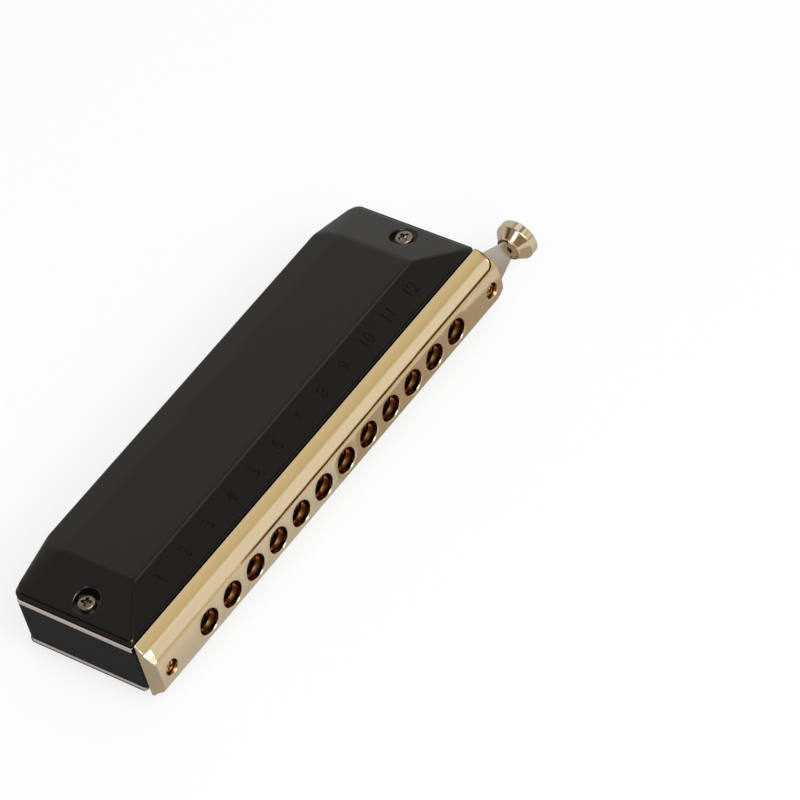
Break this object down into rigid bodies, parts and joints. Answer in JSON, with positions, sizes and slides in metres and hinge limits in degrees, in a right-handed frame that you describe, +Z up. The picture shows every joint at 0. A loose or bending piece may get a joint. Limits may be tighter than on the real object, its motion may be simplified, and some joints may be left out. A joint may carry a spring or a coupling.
{
  "type": "chromatic harmonica",
  "caption": "Slide chromatic harmonica with round mouth holes, a gold-coloured mouthpiece, black comb and covers, and a sprung slide with a round knob.",
  "frame": {"origin": "middle of the lower cover's flat facet, on which the instrument rests", "axes": "+X along the instrument towards the slide's knob, -Y out of the mouthpiece towards the player, +Z up"},
  "size_m": [0.1545, 0.0445, 0.0262],
  "materials": {
    "gold_plate": "polished gold-coloured plating",
    "black_lacquer": "black satin lacquer on pressed brass",
    "comb_plastic": "moulded black ABS",
    "slide_steel": "rolled stainless strip",
    "screw_nickel": "nickel-plated",
    "reed_brass": "milled brass",
    "bumper_rubber": "soft matt sleeve"
  },
  "bodies": {
    "harmonica_body": {"comb": "comb_plastic", "mouthpiece": "gold_plate", "top_cover": "black_lacquer", "bottom_cover": "black_lacquer", "upper_reed_plate": "reed_brass", "lower_reed_plate": "reed_brass", "slide_front_guide": "reed_brass", "slide_back_plate": "reed_brass", "slide_bumper_left": "bumper_rubber", "slide_bumper_right": "bumper_rubber", "slide_return_spring": "slide_steel", "top_cover_screw_left": "screw_nickel", "top_cover_screw_right": "screw_nickel", "bottom_cover_screw_left": "screw_nickel", "bottom_cover_screw_right": "screw_nickel", "mouthpiece_screw_left": "gold_plate", "mouthpiece_screw_right": "gold_plate", "upper_draw_reed_1": "reed_brass", "upper_draw_reed_2": "reed_brass", "upper_draw_reed_3": "reed_brass", "upper_draw_reed_4": "reed_brass", "upper_draw_reed_5": "reed_brass", "upper_draw_reed_6": "reed_brass", "upper_draw_reed_7": "reed_brass", "upper_draw_reed_8": "reed_brass", "upper_draw_reed_9": "reed_brass", "upper_draw_reed_10": "reed_brass", "upper_draw_reed_11": "reed_brass", "upper_draw_reed_12": "reed_brass", "lower_draw_reed_1": "reed_brass", "lower_draw_reed_2": "reed_brass", "lower_draw_reed_3": "reed_brass", "lower_draw_reed_4": "reed_brass", "lower_draw_reed_5": "reed_brass", "lower_draw_reed_6": "reed_brass", "lower_draw_reed_7": "reed_brass", "lower_draw_reed_8": "reed_brass", "lower_draw_reed_9": "reed_brass", "lower_draw_reed_10": "reed_brass", "lower_draw_reed_11": "reed_brass", "lower_draw_reed_12": "reed_brass", "upper_plate_screw_1": "screw_nickel", "upper_plate_screw_2": "screw_nickel", "upper_plate_screw_3": "screw_nickel", "upper_plate_screw_4": "screw_nickel", "upper_plate_screw_5": "screw_nickel", "upper_plate_screw_6": "screw_nickel", "lower_plate_screw_1": "screw_nickel", "lower_plate_screw_2": "screw_nickel", "lower_plate_screw_3": "screw_nickel", "lower_plate_screw_4": "screw_nickel", "lower_plate_screw_5": "screw_nickel", "lower_plate_screw_6": "screw_nickel"},
    "slide": {"slide": "slide_steel", "slide_knob": "gold_plate"}
  },
  "joints": [
    {"name": "slide_press", "type": "slide", "parent": "harmonica_body", "child": "slide", "axis": [-1, 0, 0], "range_m": [0, 0.0046], "stiffness_N_per_m": 250, "springref_m": -0.004, "deforming": ["slide_return_spring"]}
  ]
}
